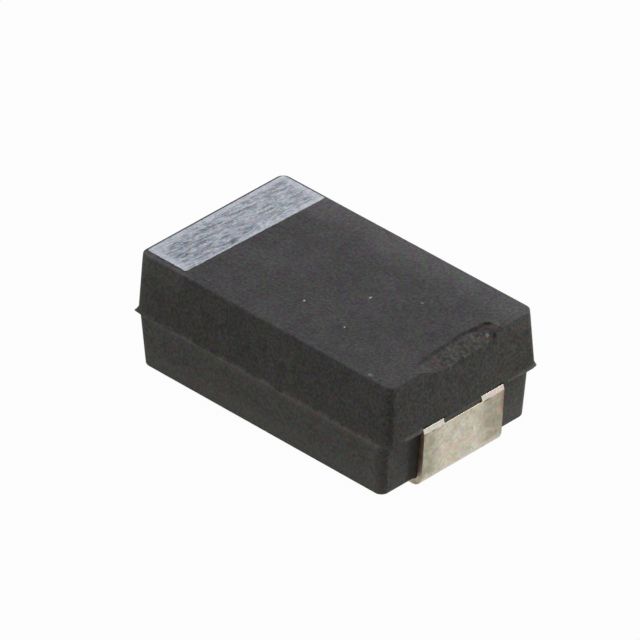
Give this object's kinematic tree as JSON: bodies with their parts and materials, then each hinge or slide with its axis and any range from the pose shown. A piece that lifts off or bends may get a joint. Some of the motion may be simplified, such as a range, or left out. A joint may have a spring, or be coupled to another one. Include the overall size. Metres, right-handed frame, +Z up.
{
  "type": "tantalum chip capacitor",
  "caption": "Moulded surface-mount tantalum capacitor: drafted dark epoxy case, pale polarity band at the anode end, tinned terminals folded under both ends.",
  "frame": {"origin": "centre of the footprint, on the plane that both solder feet stand on", "axes": "+X along the length towards the cathode end, so the polarity band is at -X; +Z up, away from the board"},
  "size_m": [0.0074, 0.0044, 0.0029],
  "materials": {
    "epoxy": "moulded, matt, fine grain",
    "band_ink": "laser-marked, matt",
    "tinned_lead_frame": "matt tin plate",
    "tantalum_metal": "drawn wire",
    "sintered_tantalum": "porous, matt",
    "fluoropolymer": "smooth, matt",
    "manganese_dioxide": "fine, matt",
    "graphite": "satin",
    "silver_paint": "matt metallic paint",
    "silver_epoxy": "matt, filled"
  },
  "bodies": {
    "root": {"moulded_case": "epoxy", "polarity_band": "band_ink", "cathode_terminal": "tinned_lead_frame", "anode_terminal": "tinned_lead_frame", "tantalum_wire": "tantalum_metal", "tantalum_pellet": "sintered_tantalum", "insulating_washer": "fluoropolymer", "manganese_dioxide_layer": "manganese_dioxide", "graphite_layer": "graphite", "silver_coat": "silver_paint", "silver_adhesive": "silver_epoxy"}
  },
  "joints": []
}
